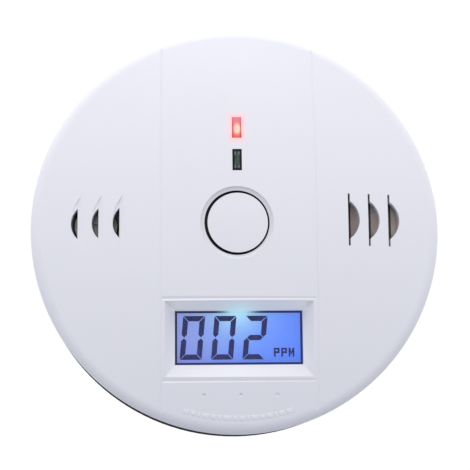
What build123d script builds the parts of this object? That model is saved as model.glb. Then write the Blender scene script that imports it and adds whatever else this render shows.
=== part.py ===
from build123d import *
import math
import os

# Carbon monoxide detector: a round, battery-powered wall unit.
#
# The model is drawn lying on its back: X to the right, Y up the wall, Z out of the wall.
# The origin is the centre of the two screw slots, on the plane of the wall.
# export_node() turns everything so that +Z is up and the front faces -Y.
# All sizes are in millimetres, all angles in degrees.

# ---- Driving sizes ----
body_diameter = 100.0           # across the rim seal, the widest place
crown_height = 13.3             # circuit board to the crown of the front cover
wall = 2.0                      # shell thickness of cover and base
overcut = 1.0                   # cutters reach this far beyond what they cut

# Front cover
dome_radius = 187.0             # spherical crown of the cover
cover_inset = 0.8               # cover skirt inside the rim seal, on the radius
shoulder_radius = 3.4           # rounding where crown meets skirt
parting_height = 14.0           # plane where cover meets base
groove_width = 0.8
groove_depth = 0.16
cutter_height = 1.0             # height of the wedge that cuts a groove
band_x = 0.4                    # decorative band down the middle of the cover
band_half_width = 18.4
band_line_upper = -17.7         # cross grooves over and under the display
band_line_lower = -36.7
dimple_radius = 0.55
dimple_pitch = 8.6
dimple_line = -40.0
dimple_depth = 0.35
dimple_offset = 0.3             # middle dimple beside the middle of the display

# Base housing
bead_height = 2.5               # bead around the top of the base
bead_inset = 0.15               # bead inside the rim seal, on the radius
bead_round = 0.3
bead_step = 0.2                 # base under the bead inside the skirt of the cover
seal_height = 1.0               # rubber seal between the bead and the cover
seal_round = 0.3
seal_clearance = 0.05
rear_gap = 2.8                  # wall to the rear rim of the base
rear_radius_inset = 2.5         # rear rim inside the bead, on the radius
rear_chamfer = 0.5
rim_wall = 1.6                  # rear rim around the mounting plate
floor_height = 7.6              # wall to the back of the base floor
lip_height = 2.5                # spigot lip that centres the cover
lip_wall = 1.4
lip_clearance = 0.3

# Mounting plate and bayonet
plate_clearance = 1.0           # plate edge to the rear rim of the base
plate_thickness = 2.2
plate_chamfer = 0.4
stiffener_outer = 38.6          # raised ring on the front of the plate
stiffener_width = 1.2
stiffener_height = 0.6
slot_spacing = 60.0
slot_width = 4.2
slot_length = 8.0
centre_hole = 5.0
web_count = 6                   # shallow pockets on the wall side, with webs between them
web_arc = 17.0
web_inner = 12.0
web_outer = 40.0
web_depth = 0.7
web_corner = 1.5
arrow_radius = 32.0             # raised arrow: the way the detector turns off
arrow_width = 2.0
arrow_relief = 0.4
arrow_angle = 270.0
arrow_arc = 34.0
arrow_head_arc = 7.4
arrow_head_width = 5.2
arrow_overlap = 0.4             # head grown into the shaft, in degrees
hook_angles = (90.0, 210.0, 330.0)
hook_arc = 12.0
hook_inset = 2.1                # outside of the hook posts inside the plate edge
hook_post = 2.0
hook_reach = 2.2                # flange overhang beyond its post
hook_flange = 1.6
hook_overlap = 0.2              # flange grown into its post
ledge_arc = 14.0
ledge_thickness = 1.8
ledge_lift = 0.8                # plate face to ledge
hook_play = 0.4                 # ledge to hook flange
ledge_gap = 0.6                 # hook post to ledge, on the radius
stop_gap = 1.2                  # ledge end to stop rib, in degrees
stop_arc = 1.8
stop_inset = 0.4                # stop rib inside the edge of the flange
ledge_overlap = 0.3             # ledge grown into the rear rim
ledge_web_inset = 2.1           # web of the ledge beyond its inner edge, clear of the hook

# Batteries and their bay
cell_radius = 7.25
cell_length = 49.2              # body of the cell, without its tip
tip_radius = 2.75
tip_length = 1.3
cell_round = 0.5
cell_spacing = 0.7              # between neighbouring cells
cell_count = 3
cell_lift = 4.2                 # wall to the back of the cells
bay_clearance = 0.35
bay_wall = 1.5
bay_corner = 3.0
bay_skirt = 0.6                 # bay walls behind the back of the cells
bay_rib = 1.2
bay_rib_height = 2.4
contact_thickness = 0.4
contact_width = 11.0
contact_height = 10.0
contact_corner = 1.0
spring_length = 5.4
spring_wire = 0.7
spring_turns = 3.5
spring_radius = 4.2
spring_clearance = 0.05

# Case and board fixings
case_screw_inset = 7.8          # screw axis inside the skirt of the cover
case_screw_angles = (38.0, 142.0, 218.0, 322.0)
case_boss = 2.9
screw_core = 1.1
screw_shank = 1.25
screw_head = 2.4
screw_head_height = 1.5
screw_length = 9.0
screw_head_round = 0.6
screw_clearance = 0.2
head_clearance = 0.3
head_sink = 0.7                 # floor of the base to the top of a sunk head
pilot_margin = 2.0              # pilot hole beyond the length of its screw
recess_width = 0.7
recess_length = 2.6
recess_depth = 0.8
board_boss = 2.5
board_screw_inset = 6.0         # screw axis beyond the side of the display glass
board_screw_y = 30.5
board_screw_length = 6.0
board_pilot = 5.5

# Circuit board
board_inset = 1.8               # board edge inside the wall of the cover
board_thickness = 1.6
board_clearance = 2.05          # battery bay to the back of the board
solder_tail = 1.2
pin_size = 0.5
pin_clearance = 0.05
chip_x = -2.5                   # microcontroller
chip_y = 36.0
chip_length = 10.3
chip_width = 7.5
chip_height = 2.2
chip_standoff = 0.1
chip_chamfer = 0.3
chip_dot_radius = 0.5           # dot that marks the first leg
chip_dot_inset = 1.3
chip_dot_depth = 0.2
chip_leg_count = 8              # on each side
chip_leg_pitch = 1.27
chip_leg_width = 0.42
chip_leg_thick = 0.25
chip_leg_rise = 1.1
chip_foot_length = 1.1
chip_foot_thick = 0.2
boss_clearance = 0.5            # case boss to its notch in the board

# Small parts on the board
capacitor_x = 10.0
capacitor_y = 34.0
capacitor_radius = 3.15
capacitor_height = 5.0
capacitor_round = 0.4
coil_x = 17.8
coil_y = 37.0
coil_radius = 3.0
coil_core = 2.2
coil_height = 3.4
coil_cheek = 0.7
crystal_x = -17.0
crystal_y = 12.0
crystal_length = 8.0
crystal_width = 3.2
crystal_height = 2.6
crystal_corner = 1.5
transistor_x = 17.0
transistor_y = -8.0
transistor_length = 2.9
transistor_width = 1.3
transistor_height = 1.0
transistor_leg_x = 0.95
transistor_leg_y = 1.0
transistor_leg_width = 0.4
transistor_leg_length = 0.9
transistor_leg_thick = 0.3
resistor_length = 2.0
resistor_width = 1.25
resistor_height = 0.5
resistor_pitch = 1.9
resistor_column_x = -20.0
resistor_column_y = 30.0
resistor_column_count = 6
resistor_row_x = 12.5
resistor_row_y = 9.0
resistor_row_count = 5

# Display
display_x = 0.3
display_y = -26.6
window_width = 30.1
window_height = 12.7
bevel_side = 2.35
bevel_top = 2.0
bevel_bottom = 2.8
window_edge_depth = 4.7         # crown of the cover to the lip of the window
lip_thickness = 0.9
glass_room = 4.0                # pocket in the cover for the display stack
bezel_margin = 2.3              # moulded surround beyond the bevel
glass_margin_side = 3.1         # glass beyond the window
glass_margin_end = 2.6
glass_thickness = 1.1
glass_clearance = 0.3
polariser_thickness = 0.2
film_inset = 1.0                # polarisers inside the edge of the glass
cell_gap = 0.1                  # liquid crystal layer between the glasses
seal_width = 1.2
segment_thickness = 0.06
digit_height = 10.3
digit_width = 5.2
digit_pitch = 7.4
digit_slant = 5.0
digit_stroke = 1.25
digit_x = -10.9                 # left digit from the middle of the window
digit_y = 0.1
segment_gap = 0.2
letter_width = 1.35
letter_height = 2.1
letter_stroke = 0.42
letter_pitch = 1.75
letter_vee = 1.4                # depth of the M's vee, in strokes
unit_x = 10.95
unit_y = -3.4
guide_thickness = 2.4
backlight_led_width = 3.2
backlight_led_height = 1.4
backlight_led_inset = 0.5
backlight_clearance = 0.1
tray_wall = 1.0
tray_floor = 0.8
tray_foot = 2.4
tray_foot_x = 7.0               # feet beside the middle of the display
tray_foot_inset = 1.5
lcd_pin_pitch = 2.0
lcd_pin_count = 14
lcd_pin_width = 0.5
lcd_pin_thick = 0.3

# Indicator lights
led_width = 2.0
led_height = 5.0
led_body = 7.0
led_round = 0.15
alarm_led_y = 23.1
power_led_y = 15.1
led_clearance = 0.12
led_set_back = 0.1
led_lead_pitch = 2.54
led_lead = 0.5
spacer_wall = 1.0

# Test button and its switch
button_radius = 7.1
button_gap = 0.5
button_hole_x = -0.15           # hole beside the button, which rests to one side of it
button_hole_y = 0.05
button_flange = 1.2             # retaining flange beyond the hole
button_flange_thick = 0.9
button_crown = 0.25
button_edge = 0.3
button_proud = -0.15
sleeve_wall = 1.2               # guide sleeve under the cover
sleeve_height = 3.0
sleeve_reach = 0.4              # how far it stands out of the shell
dish_width = 1.0
dish_depth = 0.55
dish_bow_out = 0.62             # middle of the dish's curve, as parts of its width
dish_bow_up = 0.33              # and of its depth
button_wall = 1.4
button_roof = 1.6
button_rib = 0.9
button_travel = 0.35
button_stem_radius = 1.6
switch_size = 6.0
switch_height = 3.6
switch_corner = 0.4
switch_floor = 1.0
switch_leg_gap = 0.2            # switch body to the middle of a leg
switch_leg_y = 2.25
switch_leg_width = 0.7
switch_leg_thick = 0.3
switch_leg_rise = 1.6
plunger_radius = 1.75
plunger_height = 7.0            # board to the top of the plunger
plunger_clearance = 0.1
plunger_foot = 0.8
plunger_foot_radius = 2.2
plunger_chamfer = 0.2
foot_clearance = 0.15
foot_play = 0.4
stem_gap = 0.15

# Sounder
sounder_x = 32.5
sounder_y = 1.0
vent_width = 2.8
vent_half_height = 4.75
vent_slit = 0.5                 # slit along the straight edge of each vent
vent_slit_half_height = 6.25
vent_pitch = 4.9
vent_first = 26.3               # straight edge of the vent nearest the button
vent_count = 3
piezo_radius = 10.0
piezo_thickness = 0.25
ceramic_radius = 7.0
ceramic_thickness = 0.2
sounder_wall = 1.2
sounder_floor = 1.0
sounder_ledge = 0.8
sounder_clearance = 0.1
sounder_pin_x = 3.0             # contacts beside the middle of the disc
sounder_headroom = 0.3          # guard to the underside of the cover
guard_thickness = 0.8
guard_bar = 1.2                 # bar of the guard under the straight edge of each vent
guard_bar_offset = 0.75         # middle of the bar beyond that edge
guard_relief = 0.3              # bars to the sounder disc

# Gas sensor
sensor_x = -33.6
sensor_y = 0.3
inlet_width = 1.6
inlet_half_height = 3.6
inlet_pitch = 4.95
inlet_first = -27.7             # inner straight edge of the inlet nearest the button
inlet_count = 3
scoop_width = 1.4               # sloping scoop beside each inlet
scoop_half_height = 7.2
scoop_depth = 0.6
pad_width = 19.0                # thicker patch of the cover under the scoops
pad_margin = 2.6
sensor_radius = 7.0
sensor_height = 3.4
sensor_round = 0.5
sensor_cap_radius = 5.4
sensor_cap_height = 1.4
sensor_cap_round = 0.4
sensor_cap_floor = 0.6
sensor_standoff = 0.3
sensor_hole_radius = 0.6
sensor_pin_radius = 0.45
sensor_pin_circle = 4.6
sensor_pin_angles = (90.0, 210.0, 330.0)

# Leads
lead_radius = 0.7
lead_offset = 3.5               # lead beside the middle of its cell
lead_reach = 2.4                # battery bay to where the lead comes up
lead_lift = 0.15
lead_tail = 0.8                 # end of a lead above the board
lead_bend_share = 0.45          # bend radius, as a part of the shorter run
tag_width = 2.0                 # solder tag of a contact
tag_clearance = 0.2

# ---- Places that follow from the driving sizes ----
seal_radius = body_diameter / 2
bead_radius = seal_radius - bead_inset
cover_radius = seal_radius - cover_inset
rear_radius = seal_radius - rear_radius_inset
lip_outer = cover_radius - wall - lip_clearance
plate_radius = rear_radius - rim_wall - plate_clearance
hook_post_outer = plate_radius - hook_inset
hook_post_inner = hook_post_outer - hook_post
case_screw_radius = cover_radius - case_screw_inset
cell_axis = cell_lift + cell_radius
cell_pitch = 2 * cell_radius + cell_spacing
bay_half_x = cell_pitch * (cell_count - 1) / 2 + cell_radius + bay_clearance
bay_half_y = (cell_length + tip_length + spring_length) / 2 + contact_thickness
bay_ceiling = cell_axis + cell_radius + bay_clearance
board_height = bay_ceiling + bay_wall + board_clearance
board_top = board_height + board_thickness
board_radius = cover_radius - wall - board_inset
body_depth = board_top + crown_height
dome_centre = body_depth - dome_radius
window_edge_height = body_depth - window_edge_depth
seat_height = window_edge_height - lip_thickness
glass_width = window_width + 2 * glass_margin_side
glass_height = window_height + 2 * glass_margin_end
board_screw_x = glass_width / 2 + board_screw_inset
button_hole = button_radius + button_gap
hook_top = plate_thickness + ledge_lift + ledge_thickness + hook_play + hook_flange
ledge_inner = hook_post_outer + ledge_gap
ledge_outer = rear_radius - rim_wall + ledge_overlap
switch_leg_x = switch_size / 2 + switch_leg_gap
sounder_radius = piezo_radius + sounder_clearance + sounder_wall
vent_floor = board_top + overcut   # deep enough to pass right through the cover


def dome_height(x, y, offset=0.0):
    """Height of the crown, or of a surface set in from it, above the wall."""
    radius = dome_radius - offset
    return dome_centre + math.sqrt(radius ** 2 - x ** 2 - y ** 2)


sounder_top = dome_height(sounder_x + sounder_radius, sounder_y) - wall - sounder_headroom
piezo_height = sounder_top - guard_thickness - piezo_thickness


def block(width, height, depth, x=0.0, y=0.0, z=0.0):
    """A box centred on x and y that starts at z."""
    return Pos(x, y, z) * Box(width, height, depth, align=(Align.CENTER, Align.CENTER, Align.MIN))


def rod(radius, depth, x=0.0, y=0.0, z=0.0):
    """A cylinder centred on x and y that starts at z."""
    return Pos(x, y, z) * Cylinder(radius, depth, align=(Align.CENTER, Align.CENTER, Align.MIN))


def ring(outer, inner, depth, x=0.0, y=0.0, z=0.0):
    """A tube centred on x and y that starts at z."""
    return rod(outer, depth, x, y, z) - rod(inner, depth, x, y, z)


def turned(points):
    """A solid of revolution about Z from an outline of (radius, height) points."""
    outline = Plane.XZ * make_face(Polyline(*points, close=True))
    return revolve(outline, Axis.Z)


def arc_block(inner, outer, z, depth, angle, arc):
    """A piece of a ring, centred on an angle."""
    start = angle - arc / 2
    sector = Plane.XY.offset(z) * make_face([
        Polyline(polar(outer, start), polar(inner, start)),
        ThreePointArc(polar(inner, start), polar(inner, angle), polar(inner, start + arc)),
        Polyline(polar(inner, start + arc), polar(outer, start + arc)),
        ThreePointArc(polar(outer, start + arc), polar(outer, angle), polar(outer, start)),
    ])
    return extrude(sector, depth)


def polar(radius, angle):
    """A point at a radius and an angle."""
    return (radius * math.cos(math.radians(angle)), radius * math.sin(math.radians(angle)))


def one(shape):
    """The single solid of a shape."""
    return shape.solids()[0]


nodes = {}


def add(name, *shapes):
    """Keep a node: one solid, or a group of separate solids."""
    solids = [solid for shape in shapes for solid in shape.solids()]
    nodes[name] = solids


# ---- Mounting plate ----
def mounting_plate():
    plate = turned([
        (0, 0), (plate_radius - plate_chamfer, 0), (plate_radius, plate_chamfer),
        (plate_radius, plate_thickness), (0, plate_thickness),
    ])
    plate += ring(stiffener_outer, stiffener_outer - stiffener_width, stiffener_height, z=plate_thickness)
    post_height = hook_top - plate_thickness
    flange_base = hook_top - hook_flange
    flange_outer = hook_post_outer + hook_reach
    stop_angle = ledge_arc / 2 + stop_gap + stop_arc / 2
    for angle in hook_angles:
        plate += arc_block(hook_post_inner, hook_post_outer, plate_thickness, post_height, angle, hook_arc)
        plate += arc_block(hook_post_outer - hook_overlap, flange_outer, flange_base, hook_flange,
                           angle, hook_arc)
        rib_height = flange_base - plate_thickness
        plate += arc_block(hook_post_inner, flange_outer - stop_inset, plate_thickness, rib_height,
                           angle - stop_angle, stop_arc)
    for side in (-1, 1):
        slot = Pos(side * slot_spacing / 2, 0, 0) * SlotOverall(slot_length, slot_width)
        plate -= extrude(slot, plate_thickness)
    plate -= rod(centre_hole, plate_thickness)
    for i in range(web_count):
        pocket_arc = 360.0 / web_count - web_arc
        pocket = arc_block(web_inner, web_outer, 0, web_depth, (i + 0.5) * 360.0 / web_count, pocket_arc)
        plate -= fillet(pocket.edges().filter_by(Axis.Z), web_corner)
    plate += turn_arrow()
    add("mounting_plate", plate)


def turn_arrow():
    """Raised curved arrow on the front of the plate: the way the detector turns off."""
    z = plate_thickness
    inner = arrow_radius - arrow_width / 2
    outer = arrow_radius + arrow_width / 2
    shaft = arc_block(inner, outer, z, arrow_relief, arrow_angle, arrow_arc)
    head_start = arrow_angle + arrow_arc / 2 - arrow_overlap
    tip = polar(arrow_radius, head_start + arrow_head_arc)
    low = polar(arrow_radius - arrow_head_width / 2, head_start)
    high = polar(arrow_radius + arrow_head_width / 2, head_start)
    head = extrude(Plane.XY.offset(z) * make_face(Polyline(tip, low, high, close=True)), arrow_relief)
    return shaft + head


# ---- Base housing ----
def base_housing():
    bead_start = parting_height - bead_height
    floor_top = floor_height + wall
    taper_top = cover_radius - bead_step
    shell = turned([
        (0, floor_height),
        (rear_radius - rim_wall, floor_height),
        (rear_radius - rim_wall, rear_gap),
        (rear_radius - rear_chamfer, rear_gap),
        (rear_radius, rear_gap + rear_chamfer),
        (taper_top, bead_start),
        (bead_radius - bead_round, bead_start),
        (bead_radius, bead_start + bead_round),
        (bead_radius, parting_height - seal_height),
        (lip_outer, parting_height - seal_height),
        (lip_outer, parting_height + lip_height),
        (lip_outer - lip_wall, parting_height + lip_height),
        (lip_outer - lip_wall, floor_top),
        (0, floor_top),
    ])
    bay_outer_x = 2 * (bay_half_x + bay_wall)
    bay_outer_y = 2 * (bay_half_y + bay_wall)
    bay_back = cell_lift - bay_skirt
    bay = block(bay_outer_x, bay_outer_y, bay_ceiling + bay_wall - bay_back, z=bay_back)
    shell += fillet(bay.edges().filter_by(Axis.Z), bay_corner)
    shell -= block(2 * bay_half_x, 2 * bay_half_y, bay_ceiling - bay_back, z=bay_back)
    for gap in range(1, cell_count):
        x = (gap - cell_count / 2) * cell_pitch
        shell += block(bay_rib, 2 * bay_half_y, bay_rib_height, x=x, z=bay_ceiling - bay_rib_height)
    ledge_z = plate_thickness + ledge_lift
    for angle in hook_angles:
        shell += arc_block(ledge_inner, ledge_outer, ledge_z, ledge_thickness, angle, ledge_arc)
        # web that carries the ledge back to the floor, clear of the hook as it turns off
        shell += arc_block(ledge_inner + ledge_web_inset, ledge_outer, ledge_z, floor_height - ledge_z,
                           angle, ledge_arc)
    for angle in case_screw_angles:
        x, y = polar(case_screw_radius, angle)
        shell += rod(case_boss, parting_height - floor_height, x, y, floor_height)
        shell -= rod(screw_shank + screw_clearance, parting_height - floor_height, x, y, floor_height)
        shell -= rod(screw_head + head_clearance, screw_head_height + head_sink, x, y, floor_height)
    for end in (-1, 1):
        x = -end * (contact_x(cell_count - 1) - lead_offset)
        y = end * (bay_half_y - contact_thickness / 2)
        shell -= block(tag_width + tag_clearance, contact_thickness + tag_clearance, bay_wall,
                       x=x, y=y, z=bay_ceiling)
    add("base_housing", shell)
    seal = ring(seal_radius, lip_outer + seal_clearance, seal_height, z=parting_height - seal_height)
    rims = [edge for edge in seal.edges().filter_by(GeomType.CIRCLE) if edge.radius > cover_radius]
    add("rim_seal", fillet(rims, seal_round))


# ---- Front cover ----
def cover_form(offset=0.0):
    """The outer form of the cover, or that form set in by an offset, as a filled solid."""
    radius = cover_radius - offset
    top = dome_radius - offset
    rounding = shoulder_radius - offset
    centre_r = radius - rounding
    centre_z = dome_centre + math.sqrt((top - rounding) ** 2 - centre_r ** 2)
    lean = math.atan2(centre_r, centre_z - dome_centre)
    joint = (centre_r + rounding * math.sin(lean), centre_z + rounding * math.cos(lean))
    middle_angle = lean / 2 + math.pi / 4
    middle = (centre_r + rounding * math.sin(middle_angle), centre_z + rounding * math.cos(middle_angle))
    crown = dome_centre + top
    crown_middle = (top * math.sin(lean / 2), dome_centre + top * math.cos(lean / 2))
    outline = make_face([
        Line((0, parting_height), (radius, parting_height)),
        Line((radius, parting_height), (radius, centre_z)),
        ThreePointArc((radius, centre_z), middle, joint),
        ThreePointArc(joint, crown_middle, (0, crown)),
        Line((0, crown), (0, parting_height)),
    ])
    return revolve(Plane.XZ * outline, Axis.Z)


def d_vent(edge_x, width, half_height, centre_y, side, bottom, top):
    """A D-shaped prism: straight edge towards the button, arc outwards."""
    outer = edge_x + side * width
    outline = make_face([
        Line((edge_x, centre_y - half_height), (edge_x, centre_y + half_height)),
        ThreePointArc((edge_x, centre_y + half_height), (outer, centre_y), (edge_x, centre_y - half_height)),
    ])
    return extrude(Plane.XY.offset(bottom) * outline, top - bottom)


def scoop(edge_x):
    """The sloping scoop that leads the air down to a gas inlet."""
    start_x = edge_x + scoop_width
    end_x = edge_x - inlet_width - overcut
    front = body_depth + overcut
    prism = d_vent(start_x, scoop_width + inlet_width, scoop_half_height, sensor_y, -1, vent_floor, front)
    surface = dome_height(start_x, sensor_y)
    floor = surface - scoop_depth
    slope = make_face(Polyline(
        (start_x, surface), (edge_x, floor), (end_x, floor), (end_x, front), (start_x, front), close=True,
    ))
    wedge = extrude(Plane.XZ.offset(-sensor_y) * slope, scoop_half_height, both=True)
    return prism & wedge


def bevel_cut():
    """The space in front of the four bevels around the display window.

    The outer edge of each bevel lies on the crown, so the frame is a rectangle seen from the front.
    """
    left = display_x - window_width / 2
    right = display_x + window_width / 2
    low = display_y - window_height / 2
    high = display_y + window_height / 2
    inner = [(left, low), (right, low), (right, high), (left, high)]
    outer = [
        (left - bevel_side, low - bevel_bottom), (right + bevel_side, low - bevel_bottom),
        (right + bevel_side, high + bevel_top), (left - bevel_side, high + bevel_top),
    ]
    front = body_depth + overcut
    faces = []
    front_points = [Vector(x, y, front) for x, y in outer]
    lip_points = [Vector(x, y, window_edge_height) for x, y in inner]
    crown_points = [Vector(x, y, dome_height(x, y)) for x, y in outer]
    for i in range(4):
        j = (i + 1) % 4
        mid_x = (outer[i][0] + outer[j][0]) / 2
        mid_y = (outer[i][1] + outer[j][1]) / 2
        middle = Vector(mid_x, mid_y, dome_height(mid_x, mid_y))
        crown_edge = Edge.make_three_point_arc(crown_points[i], middle, crown_points[j])
        lip_edge = Edge.make_line(lip_points[i], lip_points[j])
        front_edge = Edge.make_line(front_points[i], front_points[j])
        faces.append(Face.make_surface_from_curves(crown_edge, lip_edge))
        faces.append(Face.make_surface_from_curves(crown_edge, front_edge))
    faces.append(Face(Wire.make_polygon(front_points, close=True)))
    faces.append(Face(Wire.make_polygon(lip_points, close=True)))
    return Solid(Shell(faces))


def front_cover():
    form = cover_form()
    cover = form - cover_form(wall)
    inside = cover_form(wall * 0.5)
    # moulded surround that carries the display glass
    bezel_width = window_width + 2 * (bevel_side + bezel_margin)
    bezel_height = window_height + bevel_top + bevel_bottom + 2 * bezel_margin
    bezel_y = display_y + (bevel_top - bevel_bottom) / 2
    bezel = block(bezel_width, bezel_height, body_depth - seat_height, display_x, bezel_y, seat_height)
    cover += bezel & inside
    # pad under the scoops
    pad = block(pad_width, 2 * scoop_half_height + pad_margin, crown_height, sensor_x, sensor_y, board_top)
    pad &= cover_form(wall * 0.5) - cover_form(wall + scoop_depth)
    cover += pad
    # bosses for the case screws and the board screws
    boss_top = dome_height(case_screw_radius, 0) - wall / 2
    for angle in case_screw_angles:
        x, y = polar(case_screw_radius, angle)
        boss = rod(case_boss, boss_top - parting_height, x, y, parting_height)
        cover += boss & inside
        cover -= rod(screw_core, screw_length + pilot_margin, x, y, parting_height)
    for x in (-board_screw_x, board_screw_x):
        for y in (-board_screw_y, board_screw_y):
            boss = rod(board_boss, body_depth - board_top, x, y, board_top)
            cover += boss & inside
            cover -= rod(screw_core, board_pilot, x, y, board_top)
    # guide sleeve for the test button and pocket walls for the lights
    sleeve = ring(button_hole + sleeve_wall, button_hole, sleeve_height, button_hole_x, button_hole_y,
                  body_depth - wall - sleeve_reach)
    cover += sleeve & inside
    cover -= rod(button_hole, wall * 3, button_hole_x, button_hole_y, body_depth - wall * 2)
    cover -= button_dish()
    for y in (alarm_led_y, power_led_y):
        cover -= block(led_width + 2 * led_clearance, led_height + 2 * led_clearance, crown_height,
                       0, y, board_top + spacer_wall)
    # display window
    cover -= bevel_cut()
    cover -= block(window_width, window_height, window_edge_depth + lip_thickness, display_x, display_y,
                   seat_height - overcut)
    cover -= block(glass_width + glass_clearance, glass_height + glass_clearance, glass_room,
                   display_x, display_y, seat_height - glass_room)
    # sounder vents, gas inlets and their scoops
    front = body_depth + overcut
    for i in range(vent_count):
        edge = vent_first + i * vent_pitch
        cover -= d_vent(edge, vent_width, vent_half_height, sounder_y, 1, vent_floor, front)
        cover -= block(vent_slit, 2 * vent_slit_half_height, body_depth, edge + vent_slit / 2, sounder_y,
                       vent_floor)
    for i in range(inlet_count):
        edge = inlet_first - i * inlet_pitch
        cover -= scoop(edge)
        cover -= d_vent(edge, inlet_width, inlet_half_height, sensor_y, -1, vent_floor, front)
    cover -= decoration()
    add("front_cover", cover)


def button_dish():
    """The concave ring around the test button."""
    inner = button_hole - overcut
    outer = button_hole + dish_width
    top = dome_height(outer, 0)
    floor = top - dish_depth
    front = body_depth + overcut
    bow = (button_hole + dish_width * dish_bow_out, floor + dish_depth * dish_bow_up)
    profile = make_face([
        Line((inner, floor), (button_hole, floor)),
        ThreePointArc((button_hole, floor), bow, (outer, top)),
        Polyline((outer, top), (outer, front), (inner, front), (inner, floor)),
    ])
    return Pos(button_hole_x, button_hole_y) * revolve(Plane.XZ * profile, Axis.Z)


def groove(place, along_x, half_length):
    """A V-shaped groove that follows the crown at a constant depth."""
    ride = math.sqrt(dome_radius ** 2 - place ** 2)
    opening = groove_width / 2 * cutter_height / groove_depth
    low = dome_centre + ride - groove_depth
    high = low + cutter_height
    profile = [(place, low), (place + opening, high), (place - opening, high)]
    swing = 2 * math.degrees(math.asin(half_length / dome_radius))
    if along_x:
        face = make_face(Polyline(*[(0, y, z) for y, z in profile], close=True))
        axis = Axis((0, 0, dome_centre), (0, 1, 0))
    else:
        face = make_face(Polyline(*[(x, 0, z) for x, z in profile], close=True))
        axis = Axis((0, 0, dome_centre), (1, 0, 0))
    return revolve(face.rotate(axis, -swing / 2), axis, swing)


def decoration():
    """Grooves of the band down the cover, and the three dimples under the display."""
    cut = Part()
    for line in (band_line_upper, band_line_lower):
        cut += Pos(band_x, 0, 0) * groove(line, True, band_half_width)
    for side in (-1, 1):
        cut += groove(band_x + side * band_half_width, False, cover_radius)
    for i in (-1, 0, 1):
        x = display_x + dimple_offset + i * dimple_pitch
        z = dome_height(x, dimple_line) + dimple_radius - dimple_depth
        cut += Pos(x, dimple_line, z) * Sphere(dimple_radius)
    return cut


# ---- Fixings ----
def screw(length):
    """A pan-head self-tapping screw, head at the origin, pointing along +Z."""
    body = rod(screw_head, screw_head_height, z=-screw_head_height)
    body = fillet(body.edges().group_by(Axis.Z)[0], screw_head_round)
    body += rod(screw_core, length)
    body -= block(recess_length, recess_width, recess_depth, z=-screw_head_height)
    body -= block(recess_width, recess_length, recess_depth, z=-screw_head_height)
    return body


def fixings():
    head_seat = floor_height + screw_head_height + head_sink
    case_screws = []
    for angle in case_screw_angles:
        x, y = polar(case_screw_radius, angle)
        case_screws.append(Pos(x, y, head_seat) * screw(screw_length))
    add("case_screws", *case_screws)
    board_screws = []
    for x in (-board_screw_x, board_screw_x):
        for y in (-board_screw_y, board_screw_y):
            board_screws.append(Pos(x, y, board_height) * screw(board_screw_length))
    add("board_screws", *board_screws)


# ---- Test button and switch ----
def test_button():
    edge_top = dome_height(button_radius, 0) + button_proud
    under = body_depth - wall - sleeve_reach
    flange_top = under - button_gap
    flange_bottom = flange_top - button_flange_thick
    crown_radius = (button_radius ** 2 + button_crown ** 2) / (2 * button_crown)
    cap = rod(button_radius, edge_top + button_crown - flange_bottom, z=flange_bottom)
    cap &= Pos(0, 0, edge_top + button_crown - crown_radius) * Rot(90, 0, 0) * Sphere(crown_radius)
    rims = [edge for edge in cap.edges().filter_by(GeomType.CIRCLE) if edge.length > 6 * button_radius]
    cap = fillet(max(rims, key=lambda edge: edge.center().Z), button_edge)
    cap += rod(button_hole + button_flange, button_flange_thick, z=flange_bottom)
    cap -= rod(button_radius - button_wall, edge_top - button_roof - flange_bottom, z=flange_bottom)
    stem_bottom = board_top + plunger_height + stem_gap
    rib_top = edge_top - button_wall
    cap += rod(button_stem_radius, rib_top - stem_bottom, z=stem_bottom)
    for angle in (0, 90):
        rib = block(2 * button_radius - button_wall, button_rib, rib_top - flange_bottom, z=flange_bottom)
        cap += Rot(0, 0, angle) * rib
    add("test_button", cap)


def test_switch():
    floor = board_top + switch_floor
    body = block(switch_size, switch_size, switch_height, z=board_top)
    body = fillet(body.edges().filter_by(Axis.Z), switch_corner)
    body -= rod(plunger_radius + plunger_clearance, switch_height, z=floor)
    foot_room = plunger_foot + 2 * button_travel + foot_play
    body -= rod(plunger_foot_radius + foot_clearance, foot_room, z=floor)
    add("test_switch_body", body)
    foot_z = floor + 2 * button_travel
    plunger = rod(plunger_foot_radius, plunger_foot, z=foot_z)
    plunger += rod(plunger_radius, board_top + plunger_height - foot_z, z=foot_z)
    plunger = chamfer(plunger.edges().group_by(Axis.Z)[-1], plunger_chamfer)
    add("switch_plunger", plunger)
    low = board_height - solder_tail
    legs = []
    for sx in (-1, 1):
        for sy in (-1, 1):
            legs.append(block(switch_leg_thick, switch_leg_width, board_top + switch_leg_rise - low,
                              sx * switch_leg_x, sy * switch_leg_y, low))
    add("test_switch_legs", *legs)


# ---- Indicator lights ----
def indicator(name, y):
    top = dome_height(0, y) - led_set_back
    body = block(led_width, led_height, led_body, 0, y, top - led_body)
    body = fillet(body.edges().group_by(Axis.Z)[-1], led_round)
    add(name, body)
    return top - led_body


def indicators():
    leads = []
    spacers = []
    for name, y in (("alarm_led", alarm_led_y), ("power_led", power_led_y)):
        bottom = indicator(name, y)
        spacer = block(led_width + spacer_wall, led_height + spacer_wall, bottom - board_top, 0, y, board_top)
        hole = led_lead + 2 * pin_clearance
        for side in (-1, 1):
            lead_y = y + side * led_lead_pitch / 2
            low = board_height - solder_tail
            leads.append(block(led_lead, led_lead, bottom - low, 0, lead_y, low))
            spacer -= block(hole, hole, body_depth, 0, lead_y, board_top - overcut)
        spacers.append(spacer)
    add("led_leads", *leads)
    add("led_spacers", *spacers)


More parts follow.
